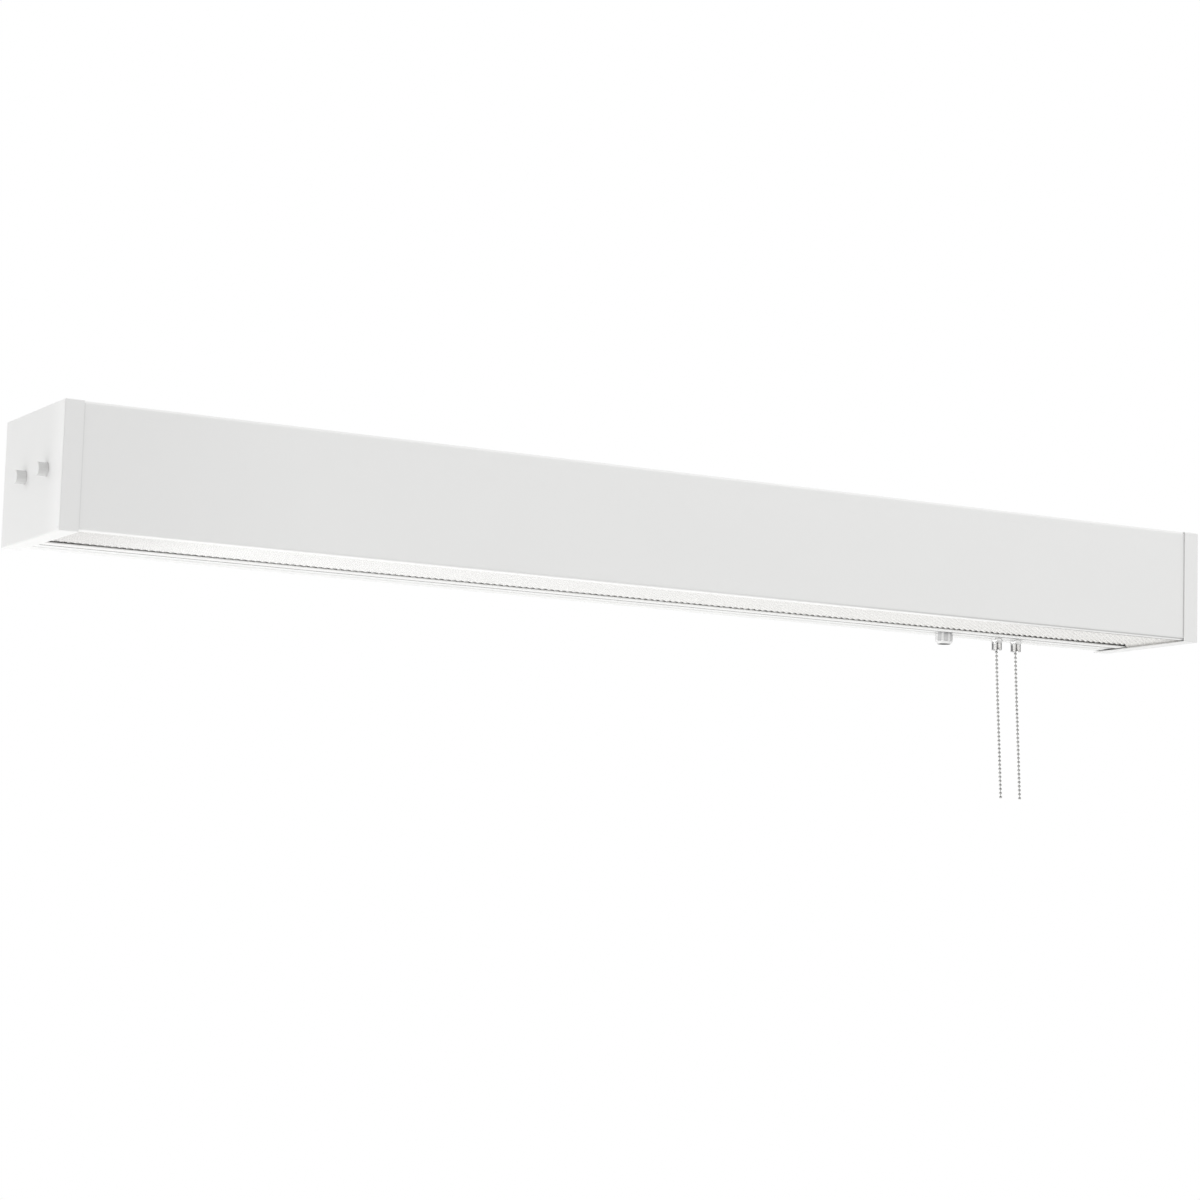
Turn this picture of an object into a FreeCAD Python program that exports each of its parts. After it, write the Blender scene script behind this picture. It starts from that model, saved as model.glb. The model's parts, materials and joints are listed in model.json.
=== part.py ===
import FreeCAD, Part
import math
import operator
import os
import Sketcher
from FreeCAD import Vector

# Overbed wall light: a long folded-steel box with an up light and a prismatic down light, two
# bead-chain pull switches and a cable gland under its rear ledge, and two push buttons on its left end.
# Frame: X runs along the box, Y into the wall, Z up. The origin is the centre of the wall face.

doc = FreeCAD.newDocument("overbed_light")
sheet = doc.addObject("Spreadsheet::Sheet", "Sizes")
aliases = []
pieces = []


class Size:
    # A length as a sheet expression together with its number: sums of sizes keep both.
    def __init__(self, text, number):
        self.text = text
        self.number = number

    def joined(self, sign, step, other, swapped=False):
        other = other if isinstance(other, Size) else Size(repr(float(other)), float(other))
        first, second = (other, self) if swapped else (self, other)
        return Size("(%s %s %s)" % (first.text, sign, second.text), step(first.number, second.number))

    def __add__(self, other):
        return self.joined("+", operator.add, other)

    def __radd__(self, other):
        return self.joined("+", operator.add, other, True)

    def __sub__(self, other):
        return self.joined("-", operator.sub, other)

    def __rsub__(self, other):
        return self.joined("-", operator.sub, other, True)

    def __mul__(self, other):
        return self.joined("*", operator.mul, other)

    def __rmul__(self, other):
        return self.joined("*", operator.mul, other, True)

    def __truediv__(self, other):
        return self.joined("/", operator.truediv, other)

    def __neg__(self):
        return self.joined("*", operator.mul, -1)


def cell(alias, value, note):
    aliases.append(alias)
    row = len(aliases)
    sheet.set("A%d" % row, note)
    sheet.set("B%d" % row, str(value))
    sheet.setAlias("B%d" % row, alias)
    return Size("Sizes." + alias, float(value))


# Box
length = cell("length", 1295, "over the end caps")
height = cell("height", 120, "of the end caps")
depth = cell("depth", 158, "wall to front")
steel = cell("steel", 1.0, "housing sheet thickness")
bend = cell("bend", 1.0, "inside radius of the folds")
cover_bend = cell("cover_bend", 2.5, "inside radius of the front cover's folds")
cap_bend = cell("cap_bend", 1.4, "outside radius of the end caps' edges")
lap = cell("lap", 0.2, "clearance where one sheet slips past another")
cover_gap = cell("cover_gap", 0.5, "front cover behind the end caps' returns")
seam = cell("seam", 0.4, "gap where two edges butt")
cap_flange = cell("cap_flange", 18.6, "return of an end cap over the box")
cap_drop = cell("cap_drop", 2.0, "end caps below the cover")
lip = cell("lip", 9.0, "cover's returns, top and bottom")
ledge = cell("ledge", 55.0, "back pan's top and bottom ledges")
shelf_drop = cell("shelf_drop", 5.0, "top lens seat below the top edge")
shelf_reach = cell("shelf_reach", 8.0, "width of the top lens seat")

# Lenses
lens_thick = cell("lens_thick", 3.2, "both lenses")
lens_lap = cell("lens_lap", 8.0, "bottom lens over the rear ledge")
lens_gap = cell("lens_gap", 0.8, "lens edge to sheet")
clip_wide = cell("clip_wide", 20.0, "lens clip along the box")
clip_reach = cell("clip_reach", 9.0, "clip's foot over the lens")
clip_rise = cell("clip_rise", 14.0, "clip's leg up the partition")
clip_steel = cell("clip_steel", 0.6, "spring strip thickness")
clip_touch = cell("clip_touch", 0.1, "clip's foot above the lens")
clip_inset = cell("clip_inset", 137.5, "end clips from the ends")
clip_count = cell("clip_count", 4, "clips along the lens")

# Partition and LED tray
partition_foot = cell("partition_foot", 7.5, "partition's flanges")
tray_flange = cell("tray_flange", 18.0, "LED tray's front and rear flanges")
tray_inset = cell("tray_inset", 40.0, "LED tray short of each end")

# Studs and nuts
stud_r = cell("stud_r", 2.0, "welded stud")
stud_long = cell("stud_long", 8.0, "stud's free length")
stud_room = cell("stud_room", 0.3, "notch over stud, each side")
thread_room = cell("thread_room", 0.05, "nut over stud or neck, radial")
nut_flats = cell("nut_flats", 7.0, "stud nut across flats")
nut_thick = cell("nut_thick", 3.2, "stud nut")
tab_deep = cell("tab_deep", 16.0, "back pan's end tabs, from the back plate")
tab_high = cell("tab_high", 70.0, "back pan's end tabs")

# LED boards
board_end = cell("board_end", 11.5, "LED board short of the tray's end")
board_wide = cell("board_wide", 22.0, "LED board")
board_thick = cell("board_thick", 1.6, "LED board")
board_gap = cell("board_gap", 12.0, "between the two boards of a row")
chip_side = cell("chip_side", 5.0, "LED package")
chip_high = cell("chip_high", 0.9, "LED package")
chip_edge = cell("chip_edge", 25.5, "end LED from the board's end")
chip_count = cell("chip_count", 12, "LEDs on a board")

# Drivers and supply
driver_long = cell("driver_long", 236.0, "LED driver's case")
driver_wide = cell("driver_wide", 38.0, "LED driver, vertical")
driver_deep = cell("driver_deep", 26.0, "LED driver off the back plate")
driver_ear = cell("driver_ear", 14.0, "driver's fixing ears")
driver_ear_thick = cell("driver_ear_thick", 1.2, "driver's fixing ears")
driver_edge = cell("driver_edge", 2.0, "driver case's edge bevels")
driver_rise = cell("driver_rise", 26.0, "driver centre above the middle")
driver_x = cell("driver_x", 228.0, "driver centre from the middle")
block_long = cell("block_long", 46.0, "terminal block")
block_wide = cell("block_wide", 30.0, "terminal block, vertical")
block_deep = cell("block_deep", 20.0, "terminal block off the back plate")
wire_r = cell("wire_r", 1.3, "wire over its insulation")
wire_pitch = cell("wire_pitch", 9.0, "wire to wire")
wire_enter = cell("wire_enter", 6.0, "wire into the terminal block")
wire_room = cell("wire_room", 0.3, "wire entry over wire, each side")
block_edge = cell("block_edge", 1.0, "terminal block's bevel")
entry_r = cell("entry_r", 11.1, "supply knockout in the back plate")
entry_drop = cell("entry_drop", 24.0, "supply knockout below the middle")
entry_bore = cell("entry_bore", 8.0, "supply bushing's bore radius")
entry_rim = cell("entry_rim", 3.0, "supply bushing's rim over the knockout")
entry_rim_thick = cell("entry_rim_thick", 2.0, "supply bushing's rim")
entry_sleeve = cell("entry_sleeve", 6.0, "supply bushing's sleeve past its rim")
entry_room = cell("entry_room", 0.15, "bushing in the knockout, radial")
ground_x = cell("ground_x", 42.0, "ground stud from the middle")

# Wall slots
slot_span = cell("slot_span", 812.8, "wall slots, along the box")
slot_rise = cell("slot_rise", 70.0, "wall slots, vertical")
slot_long = cell("slot_long", 40.0, "wall slot, end to end")
slot_wide = cell("slot_wide", 7.0, "wall slot")

# Pull switches
pull_inset = cell("pull_inset", 172.7, "left pull switch from the right end")
pull_pitch = cell("pull_pitch", 25.5, "pull switch to pull switch")
pull_y = cell("pull_y", 27.5, "pull switches and gland from the wall")
channel_wide = cell("channel_wide", 19.0, "shallow channel in the ledge, for the switches and gland")
channel_deep = cell("channel_deep", 0.8, "shallow channel in the ledge")
neck_r = cell("neck_r", 5.8, "pull switch's threaded neck")
neck_drop = cell("neck_drop", 13.0, "neck below the ledge")
neck_room = cell("neck_room", 0.3, "ledge hole over neck, radial")
switch_wide = cell("switch_wide", 22.0, "pull switch case, along the box")
switch_deep = cell("switch_deep", 26.0, "pull switch case, from the wall")
switch_high = cell("switch_high", 30.0, "pull switch case")
switch_wall = cell("switch_wall", 2.5, "over and under the plunger's chamber")
chamber_r = cell("chamber_r", 4.2, "plunger's chamber")
plunger_r = cell("plunger_r", 3.9, "plunger")
plunger_high = cell("plunger_high", 8.0, "plunger")
plunger_rest = cell("plunger_rest", 0.3, "plunger under the chamber's top at rest")
guide_r = cell("guide_r", 2.5, "chain's way through the neck")
mouth_flare = cell("mouth_flare", 1.8, "bell of the neck's mouth")
locknut_flats = cell("locknut_flats", 14.0, "inner nut on the neck")
locknut_thick = cell("locknut_thick", 3.0, "inner nut on the neck")
ring_nut_r = cell("ring_nut_r", 6.8, "outer ring nut on the neck")
ring_nut_thick = cell("ring_nut_thick", 4.4, "outer ring nut on the neck")
ring_nut_edge = cell("ring_nut_edge", 0.8, "ring nut's bevel")
lug_wide = cell("lug_wide", 4.8, "switch terminals")
lug_thick = cell("lug_thick", 0.8, "switch terminals")
lug_long = cell("lug_long", 6.0, "switch terminals")
lug_span = cell("lug_span", 8.0, "between a switch's terminals")

# Bead chain
bead_r = cell("bead_r", 1.6, "bead")
bead_high = cell("bead_high", 3.0, "bead between its links")
bead_sides = cell("bead_sides", 6, "flats round a bead")
link_r = cell("link_r", 0.55, "dumb-bell link between beads")
bead_pitch = cell("bead_pitch", 4.4, "bead to bead")
bead_count = cell("bead_count", 37, "beads on the free chain")
rod_r = cell("rod_r", 1.3, "plunger's pull rod")
eye_r = cell("eye_r", 0.9, "eye on which the chain swings")
eye_wide = cell("eye_wide", 1.8, "eye on which the chain swings")
joint_gap = cell("joint_gap", 0.3, "pull rod to eye")

# Cable gland
gland_inset = cell("gland_inset", 242.5, "gland from the right end")
gland_hex = cell("gland_hex", 17.0, "gland body across flats")
gland_hex_thick = cell("gland_hex_thick", 1.2, "gland body's thin hexagon")
gland_thread_r = cell("gland_thread_r", 6.2, "gland's thread through the ledge")
gland_thread_long = cell("gland_thread_long", 9.0, "gland's thread above its hexagon")
gland_collar_r = cell("gland_collar_r", 5.9, "gland collar inside its nut")
gland_collar_long = cell("gland_collar_long", 5.5, "gland collar inside its nut")
gland_seal_r = cell("gland_seal_r", 5.0, "seal seat in the collar")
gland_bore_r = cell("gland_bore_r", 3.25, "cable's way through the seal")
gland_nut_flats = cell("gland_nut_flats", 18.0, "clamping nut across flats")
gland_nut_sides = cell("gland_nut_sides", 8, "flats round the clamping nut")
gland_nut_long = cell("gland_nut_long", 11.0, "clamping nut")
gland_nut_edge = cell("gland_nut_edge", 0.8, "round of the clamping nut's corners")
gland_nut_taper = cell("gland_nut_taper", 1.5, "taper of the clamping nut's end, radial")
gland_nut_rise = cell("gland_nut_rise", 2.5, "taper of the clamping nut's end, along it")
gland_mouth_r = cell("gland_mouth_r", 6.9, "clamping nut's open end")
gland_mouth_deep = cell("gland_mouth_deep", 4.0, "clamping nut's open end")
gland_nut_gap = cell("gland_nut_gap", 0.4, "clamping nut to hexagon")
gland_room = cell("gland_room", 0.15, "gland pieces in each other, radial")
gland_relief = cell("gland_relief", 0.9, "body's and nut's bores over the seal's, radial")

# Push buttons
button_r = cell("button_r", 6.25, "button cap")
button_out = cell("button_out", 10.0, "button cap out of the end plate")
button_edge = cell("button_edge", 0.7, "button cap's rim")
button_front = cell("button_front", 117.5, "front button from the wall")
button_rear = cell("button_rear", 57.8, "rear button from the wall")
button_room = cell("button_room", 0.3, "end plate hole over button, radial")
button_collar = cell("button_collar", 1.2, "cap's stop collar, high and thick")
button_stop = cell("button_stop", 0.3, "collar inside the end plate at rest")
button_stem_r = cell("button_stem_r", 2.5, "cap's stem")
stem_room = cell("stem_room", 0.08, "stem in the switch, radial")
bracket_gap = cell("bracket_gap", 8.0, "end plate to switch bracket")
bracket_rise = cell("bracket_rise", 13.0, "bracket's half height")
bracket_foot = cell("bracket_foot", 10.0, "bracket's welded feet")
bracket_margin = cell("bracket_margin", 6.4, "bracket past the buttons")
press_body = cell("press_body", 12.0, "push switch case, square")
press_long = cell("press_long", 17.0, "push switch case, along the box")
press_neck_r = cell("press_neck_r", 4.4, "push switch's neck")
press_nut_flats = cell("press_nut_flats", 11.0, "nut on the push switch's neck")
press_nut_thick = cell("press_nut_thick", 1.5, "nut on the push switch's neck")
press_deep = cell("press_deep", 11.0, "stem's bore from the neck's face")
stem_reach = cell("stem_reach", 7.0, "stem inside the switch at rest")

doc.recompute()

# Places that several pieces share
half = length / 2
top = height / 2
floor = cap_drop - top
ledge_top = floor + steel
face = steel + cover_gap - depth
plate_x = half - steel
shelf_top = top - shelf_drop
partition_y = lens_lap + lens_gap - ledge
tray_front = face + steel + lap
tray_mid = (tray_front + partition_y) / 2
tray_half = half - tray_inset
box_half = plate_x - lap
board_long = tray_half - board_end - board_gap / 2
chip_span = board_long - 2 * chip_edge
pull_x = half - pull_inset
gland_x = half - gland_inset
seat = floor + channel_deep
seat_top = seat + steel


def bind(item, name, value):
    if isinstance(value, Size):
        item.setExpression(name, value.text)


def number(value):
    return value.number if isinstance(value, Size) else float(value)


def body(label, x=0, y=0, z=0):
    item = doc.addObject("PartDesign::Body", label)
    item.Label = label
    bind(item, "Placement.Base.x", x)
    bind(item, "Placement.Base.y", y)
    bind(item, "Placement.Base.z", z)
    pieces.append(item)
    return item


def sketch(owner, role, lift=0):
    plane = [item for item in owner.Origin.OriginFeatures if item.Role == role][0]
    item = owner.newObject("Sketcher::SketchObject", "outline")
    item.AttachmentSupport = (plane, [""])
    item.MapMode = "FlatFace"
    bind(item, "AttachmentOffset.Base.z", lift)
    return item


def dimension(drawing, kind, value, *where):
    index = drawing.addConstraint(Sketcher.Constraint(kind, *where, number(value)))
    bind(drawing, "Constraints[%d]" % index, value)


def place(drawing, shape, corner, x, y):
    dimension(drawing, "DistanceX", x, -1, 1, shape, corner)
    dimension(drawing, "DistanceY", y, -1, 1, shape, corner)


def polygon(drawing, points):
    corners = [Vector(number(x), number(y), 0) for x, y in points]
    count = len(corners)
    sides = [Part.LineSegment(corners[i], corners[(i + 1) % count]) for i in range(count)]
    lines = [drawing.addGeometry(side) for side in sides]
    for i in range(count):
        drawing.addConstraint(Sketcher.Constraint("Coincident", lines[i], 2, lines[(i + 1) % count], 1))
        place(drawing, lines[i], 1, *points[i])
    return drawing


def rectangle(drawing, low_x, low_y, high_x, high_y):
    return polygon(drawing, [(low_x, low_y), (high_x, low_y), (high_x, high_y), (low_x, high_y)])


def circle(drawing, x, y, radius):
    ring = drawing.addGeometry(Part.Circle(Vector(number(x), number(y), 0), Vector(0, 0, 1), number(radius)))
    place(drawing, ring, 3, x, y)
    dimension(drawing, "Radius", radius, ring)
    return drawing


def circles(drawing, centres, radius):
    for x, y in centres:
        circle(drawing, x, y, radius)
    return drawing


def nut_outline(drawing, x, y, flats, sides=6):
    count = int(number(sides))
    turn = 2 * math.pi / count
    corner = flats / 2 / math.cos(turn / 2)
    ring = [(math.cos(turn * step), math.sin(turn * step)) for step in range(count)]
    return polygon(drawing, [(x + corner * across, y + corner * along) for across, along in ring])


def slot(drawing, x, y, long, wide):
    radius = wide / 2
    reach = long / 2 - radius
    quarter = math.pi / 2
    ends = []
    for side in (1, -1):
        centre = Vector(number(x + side * reach), number(y), 0)
        ring = Part.Circle(centre, Vector(0, 0, 1), number(radius))
        ends.append(drawing.addGeometry(Part.ArcOfCircle(ring, -side * quarter, (2 - side) * quarter)))
    rims = []
    for side in (1, -1):
        start = Vector(number(x + side * reach), number(y + side * radius), 0)
        end = start - Vector(2 * side * number(reach), 0, 0)
        rims.append(drawing.addGeometry(Part.LineSegment(start, end)))
    for first, second in ((0, 1), (1, 0)):
        drawing.addConstraint(Sketcher.Constraint("Tangent", ends[first], 2, rims[first], 1))
        drawing.addConstraint(Sketcher.Constraint("Tangent", rims[first], 2, ends[second], 1))
    for end, side in zip(ends, (1, -1)):
        place(drawing, end, 3, x + side * reach, y)
        dimension(drawing, "Radius", radius, end)
    return drawing


def pad(owner, drawing, long, symmetric=False, reverse=False):
    item = owner.newObject("PartDesign::Pad", "pad")
    item.Profile = drawing
    item.SideType = "Symmetric" if symmetric else "One side"
    item.Reversed = reverse
    bind(item, "Length", long)
    doc.recompute()
    return item


def cut_counts(owner, before, item):
    doc.recompute()
    if item.Shape.Volume > before - 1e-6:
        raise ValueError("a cut in %s takes nothing away" % owner.Label)
    return item


def pocket(owner, drawing, deep=None, reverse=False):
    before = owner.Shape.Volume
    item = owner.newObject("PartDesign::Pocket", "pocket")
    item.Profile = drawing
    item.Reversed = reverse
    if deep is None:
        item.Type = "ThroughAll"
        item.SideType = "Symmetric"
    else:
        bind(item, "Length", deep)
    return cut_counts(owner, before, item)


def turned(owner, drawing, axis, kind="PartDesign::Revolution"):
    before = owner.Shape.Volume if owner.Tip else None
    item = owner.newObject(kind, "turned")
    item.Profile = drawing
    item.ReferenceAxis = (drawing, [axis])
    item.Angle = 360
    if kind == "PartDesign::Groove":
        return cut_counts(owner, before, item)
    doc.recompute()
    return item


def row(owner, features, drawing, axis, span, count, reverse=False):
    item = owner.newObject("PartDesign::LinearPattern", "row")
    if features:
        item.Originals = features
    else:
        item.TransformMode = "Whole shape"
    item.Direction = (drawing, [axis])
    item.Reversed = reverse
    bind(item, "Length", span)
    bind(item, "Occurrences", count)
    owner.Tip = item
    doc.recompute()
    return item


def soften(owner, radius, wanted, kind="PartDesign::Fillet"):
    base = owner.Tip
    names = ["Edge%d" % (i + 1) for i, edge in enumerate(base.Shape.Edges) if wanted(edge)]
    if not names:
        raise ValueError("no edges to soften on %s" % owner.Label)
    item = owner.newObject(kind, "soft")
    item.Base = (base, names)
    bind(item, "Radius" if kind == "PartDesign::Fillet" else "Size", radius)
    doc.recompute()
    return item


def near(first, second):
    return abs(first - second) < 1e-4


def along_x(edge, corners):
    low, high = edge.BoundBox.XMin, edge.BoundBox.XMax
    if high - low < 1e-4 or not near(edge.Length, high - low):
        return False
    middle = edge.CenterOfMass
    return any(near(middle.y, number(y)) and near(middle.z, number(z)) for y, z in corners)


# A sheet folded along X: its section as a polygon, with the folds' outer and inner corners by index.
def folded(label, points, outer, inner, reach, radius):
    item = body(label)
    pad(item, polygon(sketch(item, "YZ_Plane"), points), 2 * reach, symmetric=True)
    soften(item, radius + steel, lambda edge: along_x(edge, [points[i] for i in outer]))
    soften(item, radius, lambda edge: along_x(edge, [points[i] for i in inner]))
    return item


# The top edge steps down behind the end caps' top returns.
def notch_ends(item):
    for side in (-1, 1):
        drawing = sketch(item, "XZ_Plane")
        rectangle(drawing, side * (half - cap_flange - seam), top - steel - lap, side * half, top + steel)
        pocket(item, drawing)


def studs(item, role, lift, centres, reverse=False):
    pad(item, circles(sketch(item, role, lift), centres, stud_r), stud_long, reverse=reverse)


def nuts(label, role, groups, flats, thick, bore):
    item = body(label)
    for lift, centres, reverse in groups:
        for x, y in centres:
            drawing = nut_outline(sketch(item, role, lift), x, y, flats)
            circle(drawing, x, y, bore)
            pad(item, drawing, thick, reverse=reverse)
    return item


pull_centres = [(pull_x, -pull_y), (pull_x + pull_pitch, -pull_y)]
tab_centres = [(-steel - tab_deep / 2, side * tab_high / 4) for side in (-1, 1)]
stud_bore = stud_r + thread_room
driver_ear_x = driver_long / 2 + driver_ear / 2
driver_studs = [(side * driver_x + end * driver_ear_x, driver_rise) for side in (-1, 1) for end in (-1, 1)]
ground_stud = [(ground_x, -entry_drop)]
notch = stud_r + stud_room


def back_pan():
    front, rear = -pull_y - channel_wide / 2, channel_wide / 2 - pull_y
    points = [(0, floor), (0, top), (-ledge, top), (-ledge, shelf_top),
              (-ledge - shelf_reach, shelf_top), (-ledge - shelf_reach, shelf_top - steel),
              (steel - ledge, shelf_top - steel), (steel - ledge, top - steel), (-steel, top - steel),
              (-steel, ledge_top), (rear + steel, ledge_top), (rear + steel, seat_top),
              (front - steel, seat_top), (front - steel, ledge_top), (-ledge, ledge_top), (-ledge, floor),
              (front, floor), (front, seat), (rear, seat), (rear, floor)]
    item = folded("back_pan", points, (0, 1, 2, 6), (3, 7, 8, 9), box_half, bend)
    notch_ends(item)
    for side in (-1, 1):
        drawing = sketch(item, "XY_Plane")
        rectangle(drawing, side * (box_half - steel), -steel - tab_deep, side * box_half, -steel / 2)
        pad(item, drawing, tab_high, symmetric=True)
    for y, z in tab_centres:
        drawing = sketch(item, "YZ_Plane")
        rectangle(drawing, -2 * steel - tab_deep, z - notch, y + notch, z + notch)
        pocket(item, drawing)
    studs(item, "XZ_Plane", steel, driver_studs + ground_stud)
    drawing = circle(sketch(item, "XZ_Plane"), 0, -entry_drop, entry_r)
    for x in (-1, 1):
        for z in (-1, 1):
            slot(drawing, x * slot_span / 2, z * slot_rise / 2, slot_long, slot_wide)
    pocket(item, drawing, 2 * steel, reverse=True)
    drawing = circles(sketch(item, "XY_Plane", floor), pull_centres, neck_r + neck_room)
    circle(drawing, gland_x, -pull_y, gland_thread_r + gland_room)
    pocket(item, drawing, channel_deep + 2 * steel, reverse=True)


def front_cover():
    edge = face + lip
    points = [(edge, floor), (face, floor), (face, top), (edge, top), (edge, shelf_top),
              (edge + shelf_reach, shelf_top), (edge + shelf_reach, shelf_top - steel),
              (edge - steel, shelf_top - steel), (edge - steel, top - steel), (face + steel, top - steel),
              (face + steel, ledge_top), (edge, ledge_top)]
    item = body("front_cover")
    pad(item, polygon(sketch(item, "YZ_Plane"), points), 2 * box_half, symmetric=True)
    for radius, outer, inner in ((cover_bend, (1, 2), (9, 10)), (bend, (3, 7), (4, 8))):
        soften(item, radius + steel, lambda edge: along_x(edge, [points[i] for i in outer]))
        soften(item, radius, lambda edge: along_x(edge, [points[i] for i in inner]))
    notch_ends(item)


def end_cap(label, side, holes=()):
    item = body(label)
    right = side > 0
    outside = side * half
    drawing = rectangle(sketch(item, "YZ_Plane", outside), -depth, -top, 0, top)
    pad(item, drawing, cap_flange, reverse=right)
    soften(item, cap_bend, lambda edge: on_cap_edge(edge, outside))
    drawing = sketch(item, "YZ_Plane", side * (half - cap_flange))
    rectangle(drawing, steel - depth, steel - top, steel, top - steel)
    pocket(item, drawing, cap_flange - steel, reverse=right)
    studs(item, "YZ_Plane", side * plate_x, tab_centres, reverse=right)
    if holes:
        drawing = circles(sketch(item, "YZ_Plane", outside), holes, button_r + button_room)
        pocket(item, drawing, 2 * steel, reverse=not right)


# Edges round the end plate, and the two front corners that run back over the box.
def on_cap_edge(edge, outside):
    middle = edge.CenterOfMass
    wall_side = near(middle.y, 0)
    corner = near(middle.y, -number(depth)) and near(abs(middle.z), number(top))
    return not wall_side and (near(middle.x, number(outside)) or corner)


def partition():
    low, high = ledge_top, top - steel
    tail = partition_y + partition_foot
    points = [(partition_y, low), (tail, low), (tail, low + steel), (partition_y + steel, low + steel),
              (partition_y + steel, high - steel), (tail, high - steel), (tail, high), (partition_y, high)]
    folded("partition", points, (0, 7), (3, 4), box_half - cap_flange, bend)


def led_tray():
    points = [(partition_y, -tray_flange), (partition_y, 0), (tray_front + steel, 0),
              (tray_front + steel, tray_flange), (tray_front, tray_flange), (tray_front, -steel),
              (partition_y - steel, -steel), (partition_y - steel, -tray_flange)]
    folded("led_tray", points, (1, 5), (2, 6), tray_half, bend)


def led_board(label, side, face_up):
    item = body(label, side * (board_gap + board_long) / 2, tray_mid)
    low = 0 if face_up > 0 else -steel
    down = face_up < 0
    drawing = sketch(item, "XY_Plane", low)
    rectangle(drawing, -board_long / 2, -board_wide / 2, board_long / 2, board_wide / 2)
    pad(item, drawing, board_thick, reverse=down)
    start = -chip_span / 2
    drawing = sketch(item, "XY_Plane", low + face_up * board_thick)
    rectangle(drawing, start - chip_side / 2, -chip_side / 2, start + chip_side / 2, chip_side / 2)
    chip = pad(item, drawing, chip_high, reverse=down)
    row(item, [chip], drawing, "H_Axis", chip_span, chip_count)


def lenses():
    reach = plate_x - lens_gap
    item = body("lens_bottom")
    drawing = sketch(item, "XY_Plane", ledge_top)
    rectangle(drawing, -reach, face + steel + cover_bend + lens_gap, reach, lens_lap - ledge)
    pad(item, drawing, lens_thick)
    item = body("lens_top")
    drawing = sketch(item, "XY_Plane", shelf_top)
    margin = bend + lens_gap
    rectangle(drawing, -reach, face + lip + margin, reach, -ledge - margin)
    pad(item, drawing, lens_thick)


def lens_clips():
    item = body("lens_clips")
    low = ledge_top + lens_thick + clip_touch
    back, front, tip = partition_y, partition_y - clip_steel, partition_y - clip_reach
    drawing = sketch(item, "YZ_Plane", clip_inset - half)
    polygon(drawing, [(back, low), (back, low + clip_rise), (front, low + clip_rise),
                      (front, low + clip_steel), (tip, low + clip_steel), (tip, low)])
    clip = pad(item, drawing, clip_wide, symmetric=True)
    row(item, [clip], drawing, "N_Axis", 2 * (half - clip_inset), clip_count)


def driver(label, side):
    item = body(label, side * driver_x, 0, driver_rise)
    drawing = sketch(item, "XZ_Plane", steel)
    rectangle(drawing, -driver_long / 2, -driver_wide / 2, driver_long / 2, driver_wide / 2)
    pad(item, drawing, driver_deep)
    front = -steel - driver_deep
    soften(item, driver_edge, lambda edge: near(edge.BoundBox.YMax, number(front)), "PartDesign::Chamfer")
    ear_end = driver_long / 2 + driver_ear
    drawing = sketch(item, "XZ_Plane", steel)
    rectangle(drawing, -ear_end, -driver_wide / 4, ear_end, driver_wide / 4)
    pad(item, drawing, driver_ear_thick)
    for end in (-1, 1):
        drawing = sketch(item, "XZ_Plane", steel)
        rectangle(drawing, end * (driver_ear_x - notch), -notch, end * (ear_end + notch), notch)
        pocket(item, drawing, driver_ear_thick, reverse=True)


wire_heights = [driver_rise + step * wire_pitch for step in (-1, 0, 1)]
wire_y = steel + block_deep / 2


def terminal_block():
    item = body("terminal_block")
    drawing = sketch(item, "XZ_Plane", steel)
    low, high = driver_rise - block_wide / 2, driver_rise + block_wide / 2
    rectangle(drawing, -block_long / 2, low, block_long / 2, high)
    pad(item, drawing, block_deep)
    front = -steel - block_deep
    soften(item, block_edge, lambda edge: near(edge.BoundBox.YMax, number(front)), "PartDesign::Chamfer")
    entry = wire_r + wire_room
    for side in (-1, 1):
        for z in wire_heights:
            drawing = sketch(item, "YZ_Plane", side * block_long / 2)
            rectangle(drawing, -wire_y - entry, z - entry, entry - wire_y, z + entry)
            pocket(item, drawing, wire_enter + wire_room, reverse=side < 0)


def supply_wires():
    start = block_long / 2 - wire_enter
    long = driver_x - driver_long / 2 - start
    for label, z in zip(("ground_wires", "neutral_wires", "line_wires"), wire_heights):
        item = body(label)
        for side in (-1, 1):
            drawing = circle(sketch(item, "YZ_Plane", side * start), -wire_y, z, wire_r)
            pad(item, drawing, long, reverse=side < 0)


def supply_bushing():
    item = body("supply_bushing", 0, 0, -entry_drop)
    barrel = entry_r - entry_room
    rim = entry_r + entry_rim
    back = -steel - entry_rim_thick
    sleeve = entry_bore + entry_rim / 2
    drawing = sketch(item, "XY_Plane")
    polygon(drawing, [(entry_bore, 0), (barrel, 0), (barrel, -steel), (rim, -steel), (rim, back),
                      (sleeve, back), (sleeve, back - entry_sleeve), (entry_bore, back - entry_sleeve)])
    turned(item, drawing, "V_Axis")


# Pull switches: case and threaded neck in one, the sprung plunger inside, and the chain below
neck_mouth = floor - neck_drop
case_low = seat_top + locknut_thick
case_high = case_low + switch_high
chamber_low = case_low + switch_wall
chamber_high = case_high - switch_wall
plunger_top = chamber_high - plunger_rest


def lugs(item, role, lift):
    for side in (-1, 1):
        drawing = sketch(item, role, lift)
        middle = side * lug_span / 2
        rectangle(drawing, middle - lug_thick / 2, -lug_wide / 2, middle + lug_thick / 2, lug_wide / 2)
        pad(item, drawing, lug_long)


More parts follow.
